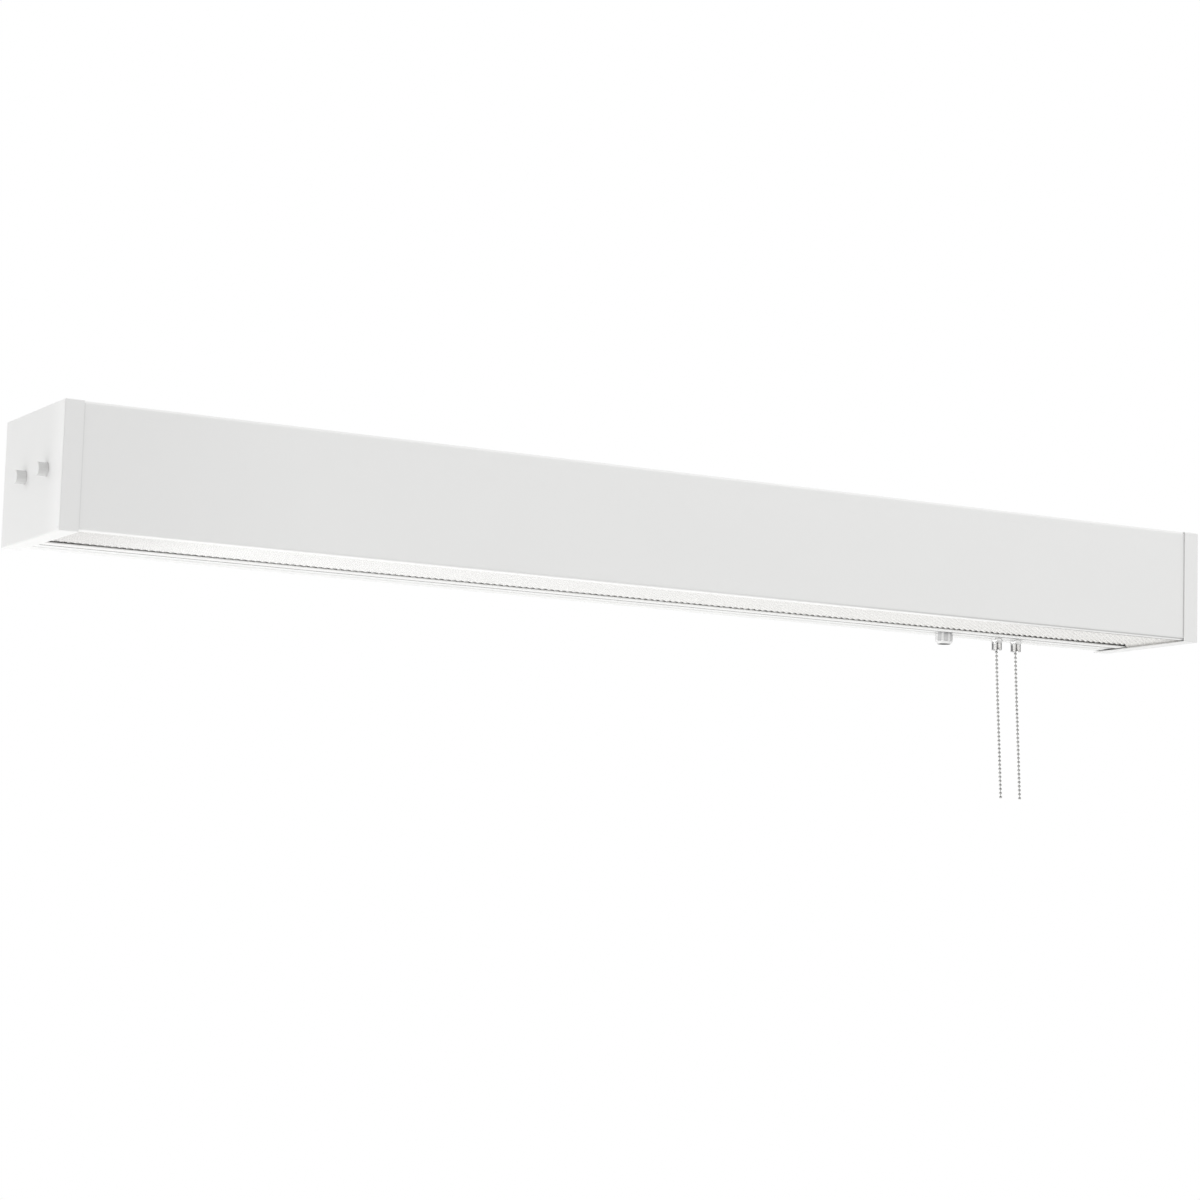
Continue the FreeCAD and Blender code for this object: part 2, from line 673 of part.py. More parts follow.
def pull_switch(label, x):
    item = body(label, x, -pull_y)
    drawing = sketch(item, "XY_Plane", case_low)
    rectangle(drawing, -switch_wide / 2, -switch_deep / 2, switch_wide / 2, switch_deep / 2)
    pad(item, drawing, switch_high)
    lugs(item, "XY_Plane", case_high)
    drawing = circle(sketch(item, "XY_Plane", case_low), 0, 0, neck_r)
    pad(item, drawing, case_low - neck_mouth, reverse=True)
    drawing = sketch(item, "XZ_Plane")
    polygon(drawing, [(0, neck_mouth), (guide_r + mouth_flare, neck_mouth),
                      (guide_r, neck_mouth + mouth_flare), (guide_r, chamber_low), (chamber_r, chamber_low),
                      (chamber_r, chamber_high), (0, chamber_high)])
    turned(item, drawing, "V_Axis", "PartDesign::Groove")


bead_turn = 2 * math.pi / number(bead_sides)


def bead_ring(item, z, radius):
    angles = [bead_turn * (step + 0.5) for step in range(int(number(bead_sides)))]
    points = [(radius * math.cos(angle), radius * math.sin(angle)) for angle in angles]
    return polygon(sketch(item, "XY_Plane", z), points)


# One bevelled bead with the link above it, repeated down the chain.
def bead_string(item, start, count):
    link = bead_pitch - bead_high
    drawing = bead_ring(item, start - link, bead_r)
    pad(item, drawing, bead_high, reverse=True)
    bevel = (bead_r - link_r) * math.cos(bead_turn / 2)
    soften(item, bevel, lambda edge: near(edge.BoundBox.ZLength, 0), "PartDesign::Chamfer")
    pad(item, bead_ring(item, start, link_r), link, reverse=True)
    row(item, [], drawing, "N_Axis", bead_pitch * (count - 1), count, reverse=True)


def pull_plunger(label, x):
    item = body(label, x, -pull_y)
    foot = plunger_top - plunger_high
    rod_end = neck_mouth + eye_r + joint_gap
    pad(item, circle(sketch(item, "XY_Plane", foot), 0, 0, plunger_r), plunger_high)
    pad(item, circle(sketch(item, "XY_Plane", rod_end), 0, 0, rod_r), foot - rod_end)


def pull_chain(label, x):
    item = body(label, x, -pull_y)
    bead_string(item, neck_mouth, bead_count)
    pad(item, circle(sketch(item, "YZ_Plane"), 0, neck_mouth, eye_r), eye_wide, symmetric=True)


def pull_nuts():
    nuts("pull_locknuts", "XY_Plane", [(seat_top, pull_centres, False)], locknut_flats, locknut_thick,
         neck_r + thread_room)
    for label, (x, y) in zip(("pull_ring_nut_left", "pull_ring_nut_right"), pull_centres):
        item = body(label, x, y)
        low = seat - ring_nut_thick
        hole = neck_r + thread_room
        drawing = sketch(item, "XZ_Plane")
        polygon(drawing, [(hole, seat), (ring_nut_r, seat), (ring_nut_r, low + ring_nut_edge),
                          (ring_nut_r - ring_nut_edge, low), (hole, low)])
        turned(item, drawing, "V_Axis")


def gland():
    hex_low = seat - gland_hex_thick
    item = body("gland_body", gland_x, -pull_y)
    pad(item, nut_outline(sketch(item, "XY_Plane", hex_low), 0, 0, gland_hex), gland_hex_thick)
    pad(item, circle(sketch(item, "XY_Plane", seat), 0, 0, gland_thread_r), gland_thread_long)
    collar = circle(sketch(item, "XY_Plane", hex_low), 0, 0, gland_collar_r)
    pad(item, collar, gland_collar_long, reverse=True)
    pocket(item, circle(sketch(item, "XY_Plane"), 0, 0, gland_bore_r + gland_relief))
    drawing = circle(sketch(item, "XY_Plane", hex_low - gland_collar_long), 0, 0, gland_seal_r)
    pocket(item, drawing, gland_collar_long, reverse=True)

    item = body("gland_seal", gland_x, -pull_y)
    drawing = circle(sketch(item, "XY_Plane", hex_low), 0, 0, gland_seal_r - gland_room)
    circle(drawing, 0, 0, gland_bore_r)
    pad(item, drawing, gland_collar_long + gland_nut_gap, reverse=True)

    item = body("gland_nut", gland_x, -pull_y)
    high = hex_low - gland_nut_gap
    low = high - gland_nut_long
    outline = nut_outline(sketch(item, "XY_Plane", low), 0, 0, gland_nut_flats, gland_nut_sides)
    pad(item, outline, gland_nut_long)
    soften(item, gland_nut_edge, lambda edge: near(edge.BoundBox.ZLength, number(gland_nut_long)))
    rim = gland_nut_flats / 2 - gland_nut_taper
    past = rim + 2 * gland_nut_taper
    drawing = polygon(sketch(item, "XZ_Plane"), [(rim, low), (past, low), (past, low + 2 * gland_nut_rise)])
    turned(item, drawing, "V_Axis", "PartDesign::Groove")
    chamber = circle(sketch(item, "XY_Plane", high), 0, 0, gland_collar_r + gland_room)
    pocket(item, chamber, gland_collar_long)
    pocket(item, circle(sketch(item, "XY_Plane", low), 0, 0, gland_mouth_r), gland_mouth_deep, reverse=True)
    pocket(item, circle(sketch(item, "XY_Plane"), 0, 0, gland_bore_r + gland_relief))

    nuts("gland_locknut", "XY_Plane", [(seat_top, [(gland_x, -pull_y)], False)], gland_hex, locknut_thick,
         gland_thread_r + thread_room)


# Push buttons: cap, switch behind its bracket, and the nut that holds it there
bracket_x = bracket_gap - plate_x
switch_face = bracket_x - press_nut_thick
button_centres = [(-button_front, 0), (-button_rear, 0)]


def button_bracket():
    item = body("button_bracket")
    inner, outer = bracket_rise - steel, bracket_rise
    base, raised = -plate_x, bracket_x
    ends = outer + bracket_foot
    drawing = sketch(item, "XZ_Plane", button_rear - bracket_margin)
    polygon(drawing, [(base, -ends), (base + steel, -ends), (base + steel, -outer), (raised + steel, -outer),
                      (raised + steel, outer), (base + steel, outer), (base + steel, ends), (base, ends),
                      (base, inner), (raised, inner), (raised, -inner), (base, -inner)])
    pad(item, drawing, button_front - button_rear + 2 * bracket_margin)
    holes = circles(sketch(item, "YZ_Plane", bracket_x), button_centres, press_neck_r + thread_room)
    pocket(item, holes, 2 * steel, reverse=True)


def push_switch(label, y):
    item = body(label, 0, y)
    back = bracket_x + steel
    drawing = sketch(item, "YZ_Plane", back)
    rectangle(drawing, -press_body / 2, -press_body / 2, press_body / 2, press_body / 2)
    pad(item, drawing, press_long)
    lugs(item, "YZ_Plane", back + press_long)
    drawing = circle(sketch(item, "YZ_Plane", back), 0, 0, press_neck_r)
    pad(item, drawing, steel + press_nut_thick, reverse=True)
    bore = circle(sketch(item, "YZ_Plane", switch_face), 0, 0, button_stem_r + stem_room)
    pocket(item, bore, press_deep, reverse=True)


def button_cap(label, y):
    item = body(label, 0, y)
    crown = -half - button_out
    stop = button_stop - plate_x
    tail = stop + button_collar
    drawing = sketch(item, "XY_Plane")
    polygon(drawing, [(crown, 0), (crown, button_r - button_edge), (crown + button_edge, button_r),
                      (stop, button_r), (stop, button_r + button_collar), (tail, button_r + button_collar),
                      (tail, button_stem_r), (switch_face + stem_reach, button_stem_r),
                      (switch_face + stem_reach, 0)])
    turned(item, drawing, "H_Axis")


def build():
    back_pan()
    front_cover()
    end_cap("end_cap_left", -1, button_centres)
    end_cap("end_cap_right", 1)
    partition()
    led_tray()
    lenses()
    lens_clips()
    for side, hand in ((-1, "left"), (1, "right")):
        led_board("led_board_down_" + hand, side, -1)
        led_board("led_board_up_" + hand, side, 1)
    driver("driver_down_light", -1)
    driver("driver_up_light", 1)
    terminal_block()
    supply_wires()
    supply_bushing()
    for hand, (x, y) in zip(("left", "right"), pull_centres):
        pull_switch("pull_switch_" + hand, x)
        pull_plunger("pull_plunger_" + hand, x)
        pull_chain("pull_chain_" + hand, x)
    pull_nuts()
    gland()
    button_bracket()
    for place_name, (y, z) in zip(("front", "rear"), button_centres):
        push_switch("push_switch_" + place_name, y)
        button_cap("button_cap_" + place_name, y)
    nuts("push_switch_nuts", "YZ_Plane", [(switch_face, button_centres, False)],
         press_nut_flats, press_nut_thick, press_neck_r + thread_room)
    tab_face = box_half - steel
    nuts("end_cap_nuts", "YZ_Plane", [(-tab_face, tab_centres, False), (tab_face, tab_centres, True)],
         nut_flats, nut_thick, stud_bore)
    nuts("driver_nuts", "XZ_Plane", [(steel + driver_ear_thick, driver_studs, False)],
         nut_flats, nut_thick, stud_bore)
    nuts("ground_nut", "XZ_Plane", [(steel, ground_stud, False)], nut_flats, nut_thick, stud_bore)


def check():
    doc.recompute()
    for item in doc.Objects:
        if "Invalid" in item.State or "Error" in item.State:
            raise ValueError("%s failed: %s" % (item.Label, item.State))
    for item in pieces:
        if item.Shape.isNull() or not item.Shape.isValid():
            raise ValueError("%s has no sound shape" % item.Label)


build()
check()
os.makedirs("parts", exist_ok=True)
for piece in pieces:
    piece.Shape.exportStep("parts/%s.step" % piece.Label)
    print("%-24s solids %2d  volume %10.1f" % (piece.Label, len(piece.Shape.Solids), piece.Shape.Volume))
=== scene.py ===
import json
import math
import bmesh
import bpy
from mathutils import Matrix, Vector


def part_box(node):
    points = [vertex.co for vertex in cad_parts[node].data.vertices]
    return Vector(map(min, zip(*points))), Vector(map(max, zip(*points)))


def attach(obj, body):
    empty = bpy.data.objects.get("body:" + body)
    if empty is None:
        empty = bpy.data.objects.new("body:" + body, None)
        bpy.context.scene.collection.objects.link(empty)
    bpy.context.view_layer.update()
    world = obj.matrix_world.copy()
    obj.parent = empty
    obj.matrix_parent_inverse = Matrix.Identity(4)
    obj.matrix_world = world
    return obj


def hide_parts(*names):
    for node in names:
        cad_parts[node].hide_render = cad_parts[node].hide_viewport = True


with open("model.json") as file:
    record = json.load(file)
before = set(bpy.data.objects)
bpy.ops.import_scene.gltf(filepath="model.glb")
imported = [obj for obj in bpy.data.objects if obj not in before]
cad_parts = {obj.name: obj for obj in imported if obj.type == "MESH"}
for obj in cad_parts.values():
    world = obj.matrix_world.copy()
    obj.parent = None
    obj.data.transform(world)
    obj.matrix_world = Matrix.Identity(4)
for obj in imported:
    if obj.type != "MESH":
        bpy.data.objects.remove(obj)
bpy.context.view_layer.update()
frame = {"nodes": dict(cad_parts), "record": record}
nodes = frame["nodes"]
scene = bpy.context.scene
mm = 0.001
print("frame loaded:", len(nodes), "nodes")

# Camera: fitted to the box's corners in the photograph
shot = {
    "target": (-94.12, -158.0, -75.86),  # mm, a point on the front's plane
    "azimuth": 28.93,  # degrees
    "elevation": -6.88,
    "roll": 1.71,
    "distance": 3142.77,  # mm
    "lens": 96.87,  # mm
    "clipEnd": 60,  # m
}


def addCamera():
    turn, lift, roll = (math.radians(shot[key]) for key in ("azimuth", "elevation", "roll"))
    level = math.cos(lift)
    ahead = Vector((math.sin(turn) * level, math.cos(turn) * level, -math.sin(lift)))
    right = ahead.cross(Vector((0, 0, 1))).normalized()
    up = right.cross(ahead)
    rolledRight = right * math.cos(roll) + up * math.sin(roll)
    rolledUp = up * math.cos(roll) - right * math.sin(roll)
    data = bpy.data.cameras.new("camera")
    data.lens = shot["lens"]
    data.clip_end = shot["clipEnd"]
    camera = bpy.data.objects.new("camera", data)
    scene.collection.objects.link(camera)
    turned = Matrix((rolledRight, rolledUp, -ahead)).transposed().to_4x4()
    spot = Vector(shot["target"]) * mm - ahead * shot["distance"] * mm
    camera.matrix_world = Matrix.Translation(spot) @ turned
    scene.camera = camera


addCamera()
print("camera placed")


class Wire:  # a socket of a shader tree that can be added, multiplied and fed on
    def __init__(self, tree, socket):
        self.tree = tree
        self.socket = socket

    def node(self, kind, settings, sockets, out=0):  # any other node
        item = self.tree.nodes.new(kind)
        for key, value in settings.items():
            setattr(item, key, value)
        for key, value in sockets.items():
            feed(self.tree, item.inputs[key], value)
        return Wire(self.tree, item.outputs[out])

    def maths(self, operation, first, second):
        return self.node("ShaderNodeMath", {"operation": operation}, {0: first, 1: second})

    def __add__(self, other):
        return self.maths("ADD", self, other)

    def __radd__(self, other):
        return self.maths("ADD", other, self)

    def __sub__(self, other):
        return self.maths("SUBTRACT", self, other)

    def __rsub__(self, other):
        return self.maths("SUBTRACT", other, self)

    def __mul__(self, other):
        return self.maths("MULTIPLY", self, other)

    def __rmul__(self, other):
        return self.maths("MULTIPLY", other, self)

    def __gt__(self, other):
        return self.maths("GREATER_THAN", self, other)

    def __lt__(self, other):
        return self.maths("LESS_THAN", self, other)


def feed(tree, socket, value):
    if isinstance(value, Wire):
        tree.links.new(value.socket, socket)
    else:
        socket.default_value = value


def newMaterial(name, **constants):
    item = bpy.data.materials.new(name)
    item.use_nodes = True
    tree = item.node_tree
    shader = tree.nodes["Principled BSDF"]
    for key, value in constants.items():
        shader.inputs[key].default_value = value
    coords = tree.nodes.new("ShaderNodeTexCoord")
    return item, shader, Wire(tree, coords.outputs["Object"])


def noise(place, scale, detail=2.0):
    return place.node("ShaderNodeTexNoise", {}, {"Vector": place, "Scale": scale, "Detail": detail})


def fineNoise(place, scale):
    return noise(place, scale, 3.0)


def aboutZero(noiseValue):  # noise runs from 0 to 1
    return noiseValue - 0.5


def cosine(angle):
    return angle.node("ShaderNodeMath", {"operation": "COSINE"}, {0: angle})


def mixed(factor, first, second):
    shades = [tone if isinstance(tone, Wire) else (*tone, 1) for tone in (first, second)]
    sockets = {0: factor, 6: shades[0], 7: shades[1]}
    return factor.node("ShaderNodeMix", {"data_type": "RGBA"}, sockets, out=2)


def softStep(value, start, end):  # 0 at the start, 1 at the end, either way round
    sockets = {"Value": value, "From Min": start, "From Max": end}
    return value.node("ShaderNodeMapRange", {"interpolation_type": "SMOOTHSTEP"}, sockets)


def bump(height, strength, distance):
    sockets = {"Height": height, "Strength": strength, "Distance": distance}
    return height.node("ShaderNodeBump", {}, sockets)


def axes(place):
    split = place.node("ShaderNodeSeparateXYZ", {}, {0: place})
    return [Wire(place.tree, split.socket.node.outputs[i]) for i in range(3)]


grain = {"gloss": 0.12, "height": 0.2}  # spread of the roughness, and mm of relief


# A plain finish: a colour that drifts a little, a grain in its gloss, and a fine relief
def finish(name, dark, light, rough, grainScale, relief, drift=9.0, **constants):
    item, shader, place = newMaterial(name, **constants)
    tree = place.tree
    fine = fineNoise(place, grainScale)
    feed(tree, shader.inputs["Base Color"], mixed(noise(place, drift), dark, light))
    feed(tree, shader.inputs["Roughness"], rough + grain["gloss"] * aboutZero(fine))
    feed(tree, shader.inputs["Normal"], bump(fine, relief, grain["height"] * mm))
    return item


paint = {
    "dark": (0.855, 0.856, 0.850),
    "light": (0.875, 0.875, 0.868),
    "drift": 9.0,  # scale of the change between them
    "rough": 0.46,
    "grain": 700.0,
    "relief": 0.05,
    "skin": 0.2,  # mm, allowance at the front's plane
    "line": (0.56, 0.56, 0.555),  # painted shade: a fine dark line along the front cover's lower fold
    "fold": 3.6,  # mm, from the front to the fold's end
    "lineHeight": 1.4,  # mm over the cover's floor
    "lineSpread": 0.9,  # mm
    "lineLeast": 0.25,  # share of the line that is there at the left
    "lineGrows": (0.0, 0.55),  # m, from left to right
    "seam": (18.2, 19.2),  # mm, painted shade: a faint dark line on the cover beside the left end cap's return
    "seamShare": 0.3,
    "edge": (0.94, 0.94, 0.935),  # painted light: paler along the end plates' front edges and on the channel's rear wall
    "edgeReach": 45.0,  # mm
    "plate": 0.8,  # mm, from the cover's end out to the end plates
    "thin": (0.825, 0.825, 0.82),  # painted shade on the front beside the left end
    "thinReach": (-0.35, -0.64),  # m
    "under": 0.3,  # mm, undersides reach this far over the cover's floor
    "lip": (0.97, 0.97, 0.965),  # painted highlight under the cover's lip
    "lipEnds": ((0.46, 0.28), (-0.62, -0.48)),  # m, from none to full
    "lipReach": 9.2,  # mm
    "gap": (0.14, 0.14, 0.135),  # painted shade: thin dark lines along the lip's rear edge and the channel's front edge
    "gapWide": 3.0,  # mm, at the lip
    "gapGrows": (0.36, 0.52),  # m, from left to right
    "channelFront": (-40.2, -37.0),  # mm, the painted shade line along the front edge of the ledge's channel
    "channelWall": (-18.6, -17.4),  # mm, painted light on the channel's rear wall
    "wallTop": 1.0,  # mm over the cover's floor
}


def whitePaint():
    item, shader, place = newMaterial("white powder coat")
    x, y, z = axes(place)
    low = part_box("front_cover")[0]
    skin = paint["skin"] * mm
    fine = fineNoise(place, paint["grain"])
    coat = mixed(noise(place, paint["drift"]), paint["dark"], paint["light"])

    # Painted shade: a fine dark line along the cover's lower fold, stronger to the right
    above = (z - (low.z + paint["lineHeight"] * mm)) * (1 / (paint["lineSpread"] * mm))
    onFold = (y > low.y - skin) * (y < low.y + paint["fold"] * mm)
    least = paint["lineLeast"]
    grown = least + (1 - least) * softStep(x, *paint["lineGrows"])
    line = onFold * softStep(above * above, 1.0, 0.0) * grown
    # Painted shade: a faint dark line on the cover beside the left end cap's return
    onFace = (y > low.y - skin) * (y < low.y + skin)
    full, none = (low.x + reach * mm for reach in paint["seam"])
    seam = paint["seamShare"] * onFace * softStep(x, none, full)

    # Painted shade: the front is darker beside the left end
    coat = mixed((y < low.y + skin) * softStep(x, *paint["thinReach"]), coat, paint["thin"])
    # Painted light: the end plates are paler toward their front edges
    onPlate = (x * x) > (low.x - paint["plate"] * mm) ** 2
    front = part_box("end_cap_left")[0].y
    coat = mixed(onPlate * softStep(y, front + paint["edgeReach"] * mm, front), coat, paint["edge"])

    # Painted highlight: paler under the cover's lip toward both ends
    right, left = (softStep(x, *ends) for ends in paint["lipEnds"])
    below = (z < low.z + paint["under"] * mm) * ((x * x) < full ** 2)
    rear = low.y + paint["lipReach"] * mm
    coat = mixed(below * (y < rear) * right * left, coat, paint["lip"])
    # Painted light: the channel's rear wall is paler
    start, end = (reach * mm for reach in paint["channelWall"])
    onWall = (z < low.z + paint["wallTop"] * mm) * (y > start) * (y < end)
    coat = mixed(onWall, coat, paint["edge"])
    # Painted shade: the fold line and the seam line darken the coat
    coat = mixed(line + seam, coat, paint["line"])

    # Painted shade: dark lines behind the lip's rear edge, toward the right, and along the channel's front
    # edge
    lipGap = (y < rear) * (y > rear - paint["gapWide"] * mm) * softStep(x, *paint["gapGrows"])
    start, end = (reach * mm for reach in paint["channelFront"])
    gap = below * (lipGap + (y > start) * (y < end))
    rough = paint["rough"] + grain["gloss"] * aboutZero(fine)
    feed(place.tree, shader.inputs["Base Color"], mixed(gap, coat, paint["gap"]))
    feed(place.tree, shader.inputs["Roughness"], rough)
    feed(place.tree, shader.inputs["Normal"], bump(fine, paint["relief"], grain["height"] * mm))
    return item


board = {
    "mask": ((0.83, 0.84, 0.80), (0.88, 0.88, 0.85)),  # white solder mask
    "drift": 60.0,
    "package": (0.86, 0.74, 0.30),  # pale yellow LED packages
    "thick": 1.65,  # mm, the packages stand over this
    "rough": 0.5,
    "packageGloss": 0.2,  # less roughness there
}


def boardMaterial():
    item, shader, place = newMaterial("led board")
    z = axes(place)[2]
    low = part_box("led_board_up_left")[0].z
    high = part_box("led_board_down_left")[1].z
    thick = board["thick"] * mm
    package = (z > low + thick) + (z < high - thick)
    white = mixed(noise(place, board["drift"]), *board["mask"])
    feed(place.tree, shader.inputs["Base Color"], mixed(package, white, board["package"]))
    feed(place.tree, shader.inputs["Roughness"], board["rough"] - board["packageGloss"] * package)
    return item


# Painted reflections: dark streaks down the switches' nickel necks, at fixed turns round each neck
flutes = {
    "count": 7,
    "first": -115.5,  # degrees round each neck
    "sides": (0.1, 0.8),  # of a wave's height, from none to full
    "top": -62.0,  # mm, below the ring nuts
    "fade": 2.0,  # mm
    "apart": 25.5,  # mm, from neck to neck
    "tone": (0.26, 0.26, 0.26),
}


def neckFlutes(place):  # 1 in the painted dark reflection streaks down the switches' necks
    low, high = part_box("pull_ring_nut_left")
    x, y, z = axes(place)
    half = flutes["apart"] * mm / 2
    wrapped = x.maths("FLOORED_MODULO", x - ((low.x + high.x) / 2 - half), 2 * half)
    turn = x.maths("ARCTAN2", y - (low.y + high.y) / 2, wrapped - half)
    wave = cosine(flutes["count"] * (turn - math.radians(flutes["first"])))
    top = flutes["top"]
    return softStep(wave, *flutes["sides"]) * softStep(z, top * mm, (top - flutes["fade"]) * mm)


drawn = {
    "streaks": (60.0, 60.0, 2600.0),  # fine streaks round the piece
    "gloss": 0.08,
    "relief": 0.05,
    "height": 0.05,  # mm
}


def nickel(name, dark, light, rough, fluted=False):
    item, shader, place = newMaterial(name, Metallic=1.0)
    sockets = {"Vector": place, "Scale": drawn["streaks"]}
    fine = fineNoise(place.node("ShaderNodeMapping", {}, sockets), 1.0)
    tone = mixed(fine, dark, light)
    # Painted reflections: dark streaks on the necks
    if fluted:
        tone = mixed(neckFlutes(place), tone, flutes["tone"])
    feed(place.tree, shader.inputs["Base Color"], tone)
    feed(place.tree, shader.inputs["Roughness"], rough + drawn["gloss"] * aboutZero(fine))
    feed(place.tree, shader.inputs["Normal"], bump(fine, drawn["relief"], drawn["height"] * mm))
    return item


gland = {
    "colour": (0.67, 0.67, 0.675),
    "corner": (0.92, 0.92, 0.92),  # painted highlight on the nut's rounded edges and lower rim
    # painted shade inside the nut's mouth
    "inside": (0.24, 0.24, 0.24),
    "rough": 0.26,
    "flats": 8.0,
    "corners": (0.3, 0.65),  # of a wave's height, from none to full
    "rim": 2.4,  # mm, painted highlight at the nut's lower end
    "mouth": 7.0,  # mm, radius
    "least": 0.94,  # share of the painted highlight's tone on an edge
    "drift": 0.12,
    "driftScale": 180.0,
}


def glandNylon():
    item, shader, place = newMaterial("gland nylon", Roughness=gland["rough"])
    low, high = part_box("gland_nut")
    x, y, z = axes(place)
    across, along = x - (low.x + high.x) / 2, y - (low.y + high.y) / 2
    turn = x.maths("ARCTAN2", along, across)
    # Painted highlights: the nut's rounded corners and lower rim are paler than its facets
    corners = softStep(cosine(gland["flats"] * turn), *gland["corners"])
    edge = corners.maths("MAXIMUM", corners, z < low.z + gland["rim"] * mm)
    drift = gland["least"] + gland["drift"] * noise(place, gland["driftScale"])
    skin = mixed(edge * drift, gland["colour"], gland["corner"])
    # Painted shade: dark inside the nut's mouth
    mouth = (across * across + along * along) < (gland["mouth"] * mm) ** 2
    feed(place.tree, shader.inputs["Base Color"], mixed(mouth, skin, gland["inside"]))
    return item


button = {
    # sides painted darker than the face, as painted shade
    "side": ((0.66, 0.66, 0.655), (0.69, 0.69, 0.685)),
    "face": (0.865, 0.865, 0.86),  # as white as the box
    "faceDeep": 0.5,  # mm
    "drift": 220.0,
    "rough": 0.5,
}


def buttonCap():
    item, shader, place = newMaterial("button plastic", Roughness=button["rough"])
    x = axes(place)[0]
    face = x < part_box("button_cap_front")[0].x + button["faceDeep"] * mm
    # Painted shade: the sides are darker than the white face
    side = mixed(noise(place, button["drift"]), *button["side"])
    feed(place.tree, shader.inputs["Base Color"], mixed(face, side, button["face"]))
    return item


clear = {
    "tones": ((0.86, 0.89, 0.89), (0.92, 0.94, 0.94)),
    "haze": 14.0,
    "alpha": 0.22,
    "index": 1.49,
    "rough": 0.06,
    "hazeRough": 0.05,  # more where it is hazy
}


def clearAcrylic():
    item, shader, place = newMaterial("clear acrylic", Alpha=clear["alpha"], IOR=clear["index"])
    haze = noise(place, clear["haze"])
    feed(place.tree, shader.inputs["Base Color"], mixed(haze, *clear["tones"]))
    feed(place.tree, shader.inputs["Roughness"], clear["rough"] + clear["hazeRough"] * haze)
    return item


acrylic = {
    "pale": (0.898, 0.896, 0.890),  # to the left
    "deep": (0.818, 0.808, 0.790),  # to the right, where the prisms turn the light away
    "mottle": 0.2,
    "mottleScale": 22.0,
    "shade": (0.70, 0.69, 0.68),  # at the left end
    "leftReach": 0.20,  # m
    "index": 1.49,
    "rough": 0.22,
    "grainRough": 0.10,
    "grain": 500.0,
}


def prismAcrylic():
    item, shader, place = newMaterial("prismatic acrylic", IOR=acrylic["index"])
    low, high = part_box("lens_bottom")
    x = axes(place)[0]
    away = (x - low.x) * (1 / (high.x - low.x))
    mottle = acrylic["mottle"] * aboutZero(noise(place, acrylic["mottleScale"]))
    tint = mixed(away + mottle, acrylic["pale"], acrylic["deep"])
    leftEnd = softStep(x, low.x + acrylic["leftReach"], low.x)
    rough = acrylic["rough"] + acrylic["grainRough"] * noise(place, acrylic["grain"])
    feed(place.tree, shader.inputs["Base Color"], mixed(leftEnd, tint, acrylic["shade"]))
    feed(place.tree, shader.inputs["Roughness"], rough)
    return item


def reflectorPaint():
    return finish("reflector paint", (0.86, 0.86, 0.85), (0.885, 0.885, 0.875), 0.34, 900.0, 0.04)


moulded = {"spread": 0.03, "grain": 1400.0, "relief": 0.08, "drift": 30.0}


def plastic(name, colour, rough=0.5):
    dark = [max(0.0, value - moulded["spread"]) for value in colour]
    light = [min(1.0, value + moulded["spread"]) for value in colour]
    return finish(name, dark, light, rough, moulded["grain"], moulded["relief"], moulded["drift"])


plated = {"dark": 0.86, "grain": 1600.0, "relief": 0.08, "drift": 120.0}


def metal(name, colour, rough):
    dark = [value * plated["dark"] for value in colour]
    return finish(name, dark, colour, rough, plated["grain"], plated["relief"], plated["drift"],
                  Metallic=1.0)


slots = {
    "white_steel": whitePaint(),
    "inner_steel": reflectorPaint(),
    "prismatic_acrylic": prismAcrylic(),
    "clear_acrylic": clearAcrylic(),
    "spring_steel": metal("spring steel", (0.62, 0.62, 0.63), 0.32),
    "led_board": boardMaterial(),
    "zinc_steel": metal("zinc plate", (0.66, 0.67, 0.70), 0.36),
    "brass": metal("brass", (0.74, 0.58, 0.30), 0.34),
    "driver_case": plastic("driver case", (0.72, 0.73, 0.74), 0.42),
    "terminal_grey": plastic("terminal grey", (0.56, 0.57, 0.58)),
    "line_insulation": plastic("line insulation", (0.05, 0.05, 0.05)),
    "neutral_insulation": plastic("neutral insulation", (0.80, 0.80, 0.79)),
    "ground_insulation": plastic("ground insulation", (0.10, 0.36, 0.14)),
    "black_nylon": plastic("black nylon", (0.06, 0.06, 0.06), 0.45),
    "nickel": nickel("nickel", (0.91, 0.91, 0.91), (0.97, 0.97, 0.97), 0.07, fluted=True),
    "chain_nickel": nickel("chain nickel", (0.50, 0.50, 0.495), (0.60, 0.60, 0.59), 0.12),
    "white_nylon": glandNylon(),
    "seal_rubber": plastic("seal rubber", (0.07, 0.07, 0.07), 0.7),
    "switch_black": plastic("switch phenolic", (0.08, 0.08, 0.085), 0.4),
    "button_grey": buttonCap(),
}
linkSteel = metal("link steel", (0.82, 0.82, 0.81), 0.25)


def dressNodes():
    for part in frame["record"]["subparts"]:
        held = nodes[part["node"]].data.materials
        held.clear()
        held.append(slots[part["material_slot"]])


dressNodes()
print("materials made:", len(slots))


def addPiece(name, mesh, body, slot, *replaced):
    data = bpy.data.meshes.new(name)
    mesh.to_mesh(data)
    mesh.free()
    piece = bpy.data.objects.new(name, data)
    scene.collection.objects.link(piece)
    piece.data.materials.append(slots[slot])
    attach(piece, body)
    if replaced:
        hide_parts(*replaced)
    return piece


